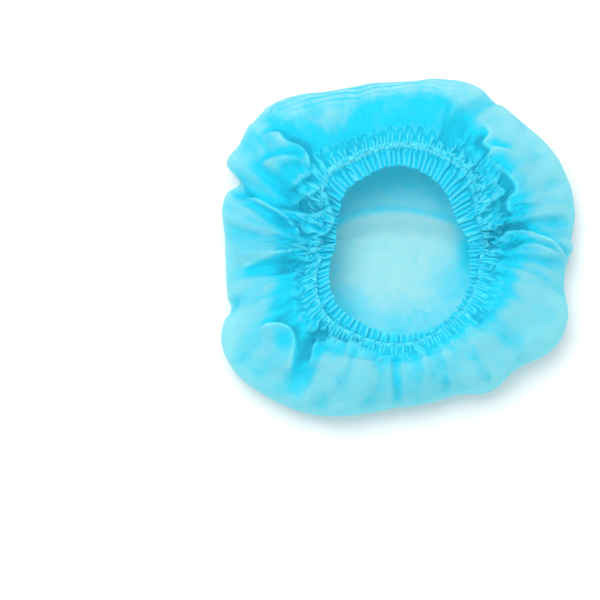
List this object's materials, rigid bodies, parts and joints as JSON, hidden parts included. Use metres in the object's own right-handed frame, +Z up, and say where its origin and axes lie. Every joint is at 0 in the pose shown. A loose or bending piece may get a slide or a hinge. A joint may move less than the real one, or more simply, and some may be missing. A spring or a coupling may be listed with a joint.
{
  "type": "disposable bouffant cap",
  "caption": "Opened non-woven bouffant cap lying on its crown, with a gathered elastic opening, a pleated frill and bonded side gathers.",
  "frame": {"origin": "the middle of the cap's bounding box in plan, on the surface that the crown rests on", "axes": "+Z up out of the opening, +X to the picture's right through the right bonded gather, +Y to the picture's top over the back billow"},
  "size_m": [0.2997, 0.291, 0.0698],
  "materials": {
    "nonwoven_cloth": "matte thin spunbond non-woven, light blue, translucent",
    "elastic": "matte pale elastic strand under thin cloth",
    "bonded_cloth": "matte non-woven pressed in several layers, deeper blue"
  },
  "bodies": {
    "root": {"cap_body": "nonwoven_cloth", "elastic_back": "elastic", "elastic_front": "elastic", "end_bond_left": "bonded_cloth", "end_bond_right": "bonded_cloth"}
  },
  "joints": []
}
